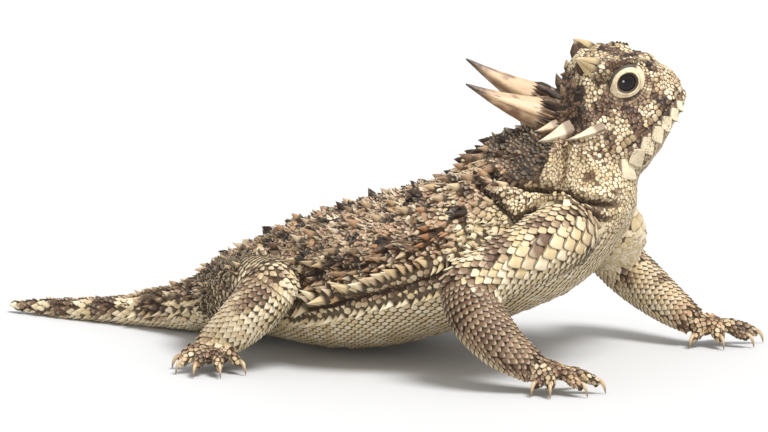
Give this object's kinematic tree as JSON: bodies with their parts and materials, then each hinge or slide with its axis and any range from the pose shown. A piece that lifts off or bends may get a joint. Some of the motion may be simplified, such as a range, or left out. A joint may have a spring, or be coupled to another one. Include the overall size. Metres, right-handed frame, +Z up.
{
  "type": "horned lizard",
  "caption": "Life-size horned lizard at rest with raised chest, turned head, long occipital horns, spiny back and flank fringes.",
  "frame": {"origin": "centre of the model's bounding box at floor level", "axes": "+X forward along the trunk from tail to chest, +Y the animal's left, +Z up"},
  "size_m": [0.1258, 0.0766, 0.0502],
  "materials": {
    "back": "matt scaly skin, tan with dark blotches",
    "pale_skin": "matt scaly skin, cream",
    "head_skin": "matt bony scales, cream and brown",
    "horn": "satin horn, pinkish tan with dark tips",
    "eye": "wet black eye"
  },
  "bodies": {
    "root": {"eye_left": "eye", "eye_right": "eye", "foot_left": "pale_skin", "foot_right": "pale_skin", "forearm_left": "pale_skin", "forearm_right": "pale_skin", "hand_left": "pale_skin", "hand_right": "pale_skin", "head": "head_skin", "horn_occipital_left": "horn", "horn_occipital_right": "horn", "horn_temporal_1_left": "horn", "horn_temporal_1_right": "horn", "horn_temporal_2_left": "horn", "horn_temporal_2_right": "horn", "horn_temporal_3_left": "horn", "horn_temporal_3_right": "horn", "neck": "back", "shank_left": "pale_skin", "shank_right": "pale_skin", "tail_base": "pale_skin", "tail_tip": "pale_skin", "thigh_left": "pale_skin", "thigh_right": "pale_skin", "torso": "back", "upper_arm_left": "pale_skin", "upper_arm_right": "pale_skin"}
  },
  "joints": []
}
